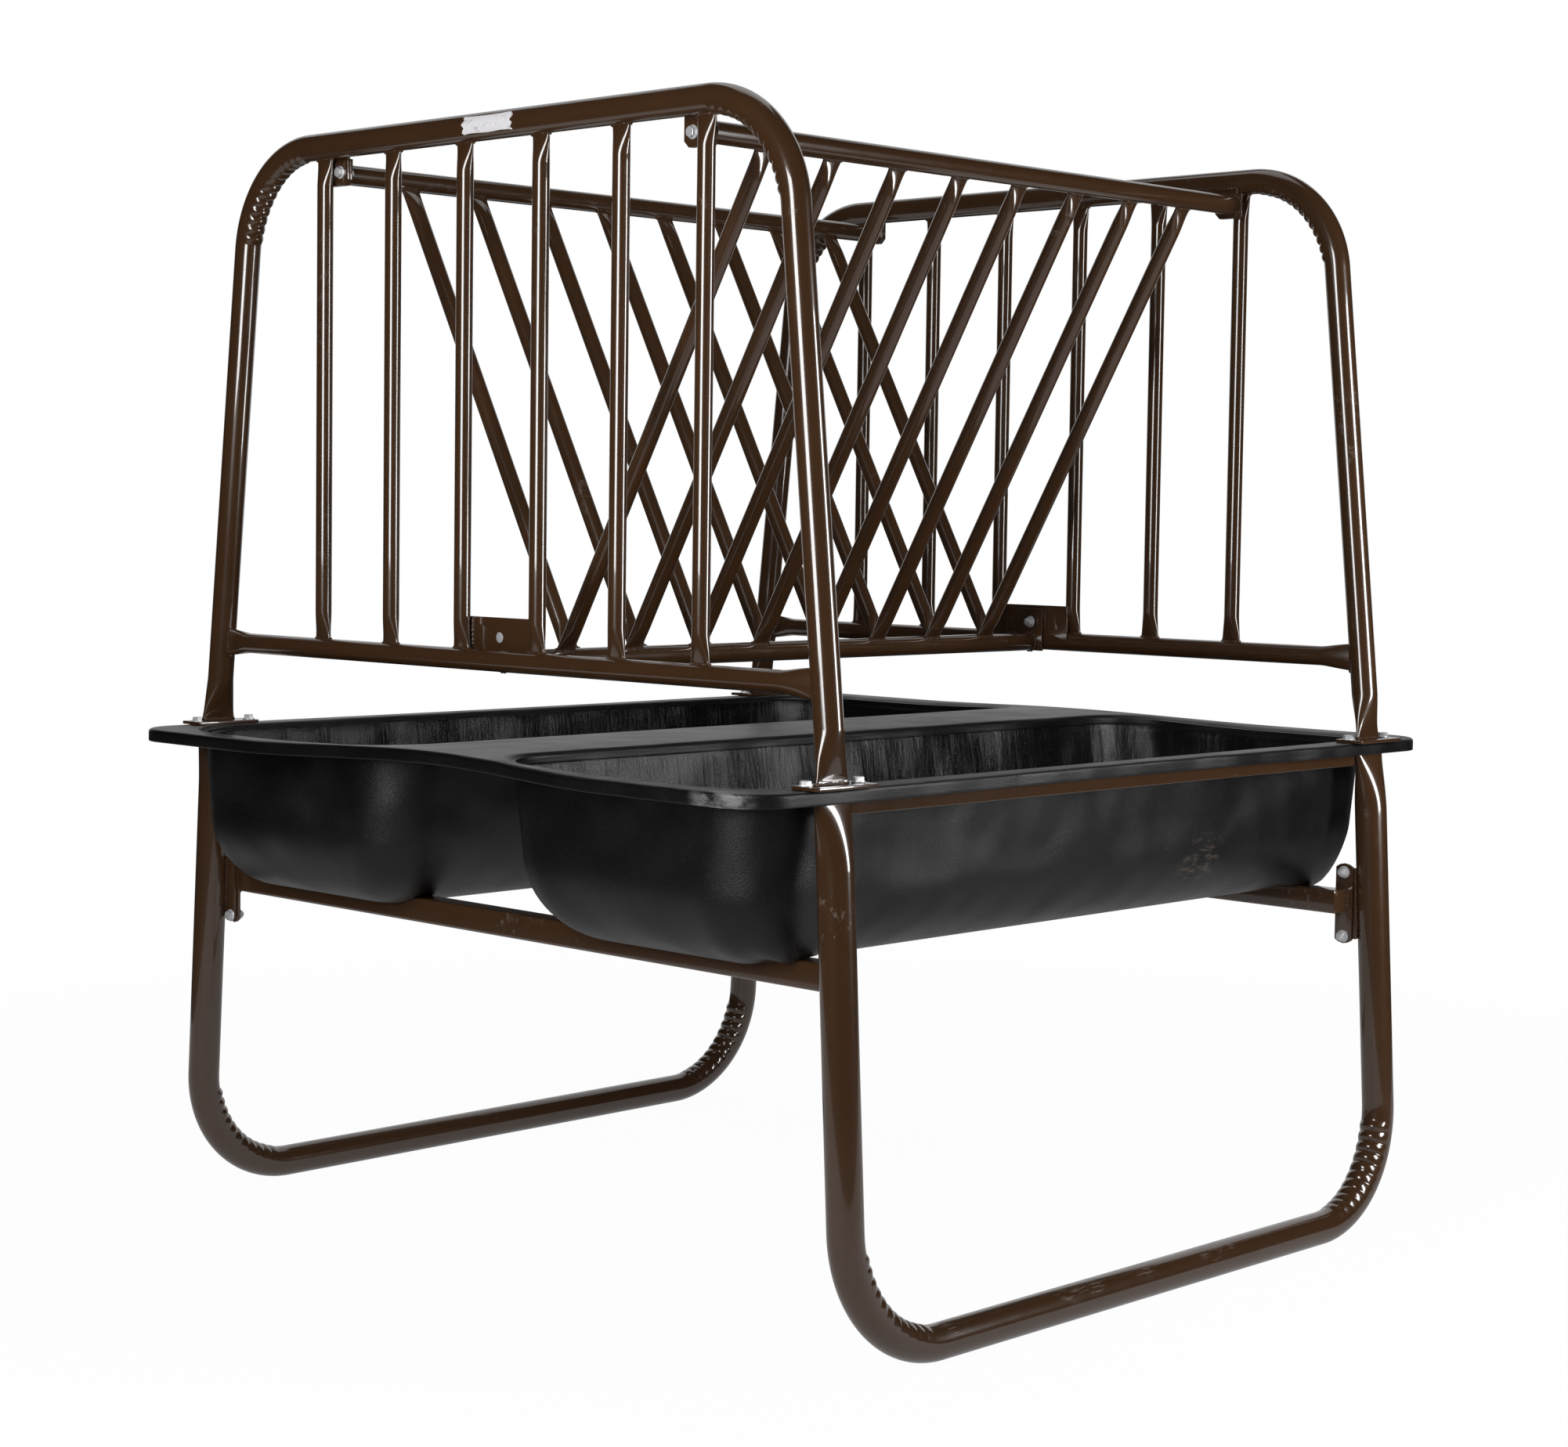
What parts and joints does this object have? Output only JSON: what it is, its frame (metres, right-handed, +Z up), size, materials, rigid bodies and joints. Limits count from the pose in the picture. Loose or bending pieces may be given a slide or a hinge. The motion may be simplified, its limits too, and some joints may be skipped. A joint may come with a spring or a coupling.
{
  "type": "horse feeder",
  "caption": "Free-standing horse feeder: a moulded divided trough on bent-tube hoops, with a V-shaped hay rack between barred end frames",
  "frame": {"origin": "middle of the feeder's footprint, on the floor", "axes": "+X along the trough to the right, +Y across it to the back, +Z up"},
  "size_m": [1.592, 1.5282, 1.7267],
  "materials": {
    "brown_powder_coat": "glossy dark brown powder coat",
    "black_poly": "satin black moulded polyethylene, faintly pebbled",
    "bright_zinc": "bright zinc plating"
  },
  "bodies": {
    "root": {"trough": "black_poly", "leg_hoop_front": "brown_powder_coat", "leg_hoop_back": "brown_powder_coat", "trough_angle_front": "brown_powder_coat", "trough_angle_back": "brown_powder_coat", "rack_top_rail_front": "brown_powder_coat", "rack_top_rail_back": "brown_powder_coat", "rack_bar_front_1": "brown_powder_coat", "rack_bar_front_2": "brown_powder_coat", "rack_bar_front_3": "brown_powder_coat", "rack_bar_front_4": "brown_powder_coat", "rack_bar_front_5": "brown_powder_coat", "rack_bar_front_6": "brown_powder_coat", "rack_bar_front_7": "brown_powder_coat", "rack_bar_front_8": "brown_powder_coat", "rack_bar_back_1": "brown_powder_coat", "rack_bar_back_2": "brown_powder_coat", "rack_bar_back_3": "brown_powder_coat", "rack_bar_back_4": "brown_powder_coat", "rack_bar_back_5": "brown_powder_coat", "rack_bar_back_6": "brown_powder_coat", "rack_bar_back_7": "brown_powder_coat", "rack_bar_back_8": "brown_powder_coat", "rack_bottom_rail": "brown_powder_coat", "cross_member_left": "brown_powder_coat", "cross_member_right": "brown_powder_coat", "end_hoop_left": "brown_powder_coat", "end_hoop_right": "brown_powder_coat", "end_rail_left": "brown_powder_coat", "end_rail_right": "brown_powder_coat", "end_bar_left_1": "brown_powder_coat", "end_bar_left_2": "brown_powder_coat", "end_bar_left_3": "brown_powder_coat", "end_bar_left_4": "brown_powder_coat", "end_bar_left_5": "brown_powder_coat", "end_bar_left_6": "brown_powder_coat", "end_bar_right_1": "brown_powder_coat", "end_bar_right_2": "brown_powder_coat", "end_bar_right_3": "brown_powder_coat", "end_bar_right_4": "brown_powder_coat", "end_bar_right_5": "brown_powder_coat", "end_bar_right_6": "brown_powder_coat", "foot_plate_left_front": "brown_powder_coat", "foot_plate_left_back": "brown_powder_coat", "foot_plate_right_front": "brown_powder_coat", "foot_plate_right_back": "brown_powder_coat", "foot_bolt_1": "bright_zinc", "foot_bolt_2": "bright_zinc", "foot_bolt_3": "bright_zinc", "foot_bolt_4": "bright_zinc", "foot_bolt_5": "bright_zinc", "foot_bolt_6": "bright_zinc", "foot_bolt_7": "bright_zinc", "foot_bolt_8": "bright_zinc", "rack_bolt_left_front": "bright_zinc", "rack_bolt_left_back": "bright_zinc", "rack_bolt_right_front": "bright_zinc", "rack_bolt_right_back": "bright_zinc", "carriage_bolt_left": "bright_zinc", "carriage_bolt_right": "bright_zinc"}
  },
  "joints": []
}
